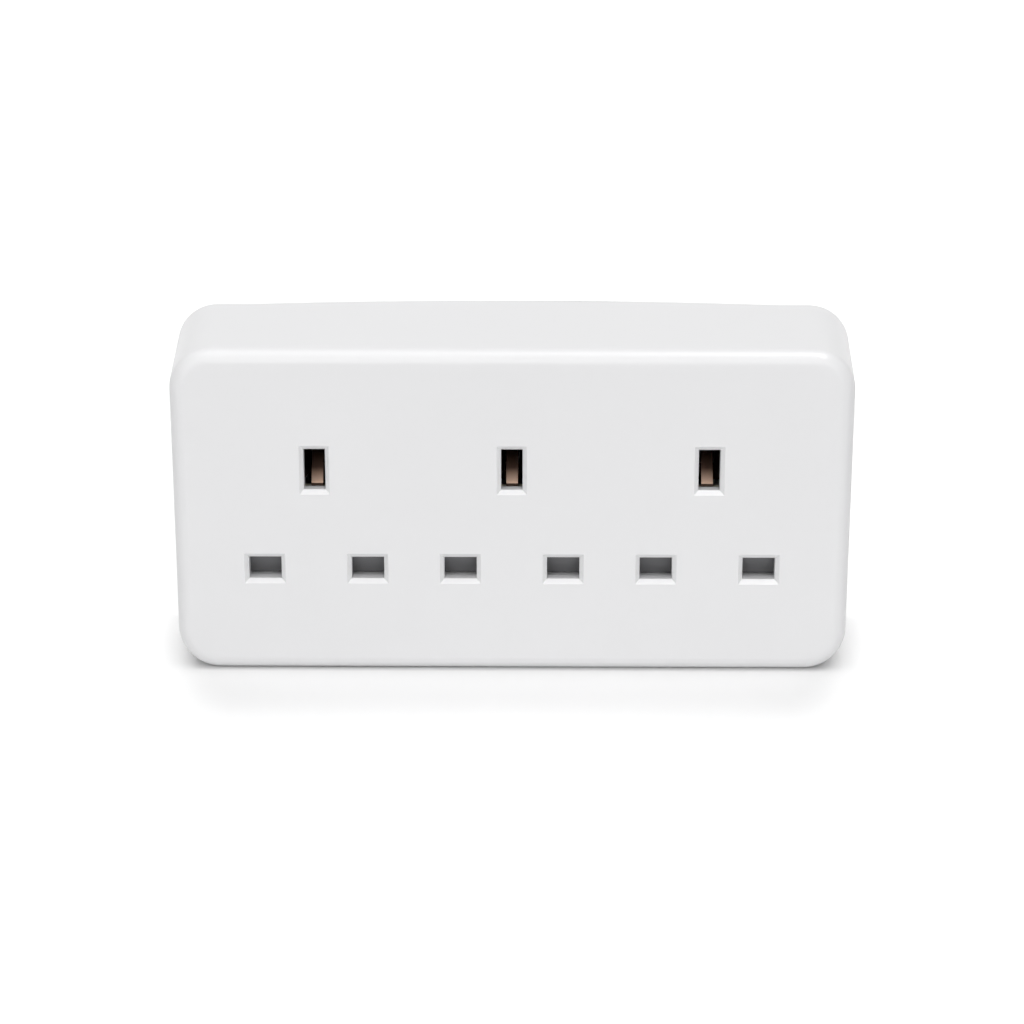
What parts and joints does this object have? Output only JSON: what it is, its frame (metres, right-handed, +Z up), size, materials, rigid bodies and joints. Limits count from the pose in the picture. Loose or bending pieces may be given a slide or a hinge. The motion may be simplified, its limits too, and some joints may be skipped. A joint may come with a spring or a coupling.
{
  "type": "trailing socket",
  "caption": "White moulded trailing socket standing on its long side, with a row of shuttered flat-pin outlets, contact strips, terminals and a cable inlet",
  "frame": {"origin": "centre of the footprint on the surface it stands on, under the long side", "axes": "+Z up, +X along the length to the cable inlet's end, the socket face towards -Y"},
  "size_m": [0.1496, 0.034, 0.0749],
  "materials": {
    "case_plastic": "white moulded plastic with a fine satin gloss",
    "shutter_plastic": "dark grey moulded nylon",
    "inner_plastic": "natural moulded nylon",
    "contact_bronze": "pressed phosphor bronze sheet",
    "terminal_brass": "turned and milled brass",
    "plated_screw": "zinc-plated steel",
    "spring_wire": "bright drawn spring wire",
    "grommet_rubber": "soft pale grey rubber"
  },
  "bodies": {
    "case": {"front_cover": "case_plastic", "back_cover": "case_plastic", "case_screws": "plated_screw", "inlet_grommet": "grommet_rubber", "cord_grip": "inner_plastic", "cord_grip_screws": "plated_screw", "live_busbar": "contact_bronze", "neutral_busbar": "contact_bronze", "earth_busbar": "contact_bronze", "live_terminal": "terminal_brass", "neutral_terminal": "terminal_brass", "earth_terminal": "terminal_brass", "terminal_screws": "plated_screw", "shutter_spring_1": "spring_wire", "shutter_retainer_1": "inner_plastic", "shutter_spring_2": "spring_wire", "shutter_retainer_2": "inner_plastic", "shutter_spring_3": "spring_wire", "shutter_retainer_3": "inner_plastic"},
    "shutter_1": {"shutter_1": "shutter_plastic"},
    "shutter_2": {"shutter_2": "shutter_plastic"},
    "shutter_3": {"shutter_3": "shutter_plastic"}
  },
  "joints": [
    {"name": "shutter_1_slide", "type": "slide", "parent": "case", "child": "shutter_1", "axis": [0, 0, 1], "range_m": [0, 0.0049], "stiffness_N_per_m": 120, "springref_m": -0.004, "deforming": ["shutter_spring_1"]},
    {"name": "shutter_2_slide", "type": "slide", "parent": "case", "child": "shutter_2", "axis": [0, 0, 1], "range_m": [0, 0.0049], "stiffness_N_per_m": 120, "springref_m": -0.004, "deforming": ["shutter_spring_2"]},
    {"name": "shutter_3_slide", "type": "slide", "parent": "case", "child": "shutter_3", "axis": [0, 0, 1], "range_m": [0, 0.0049], "stiffness_N_per_m": 120, "springref_m": -0.004, "deforming": ["shutter_spring_3"]}
  ]
}
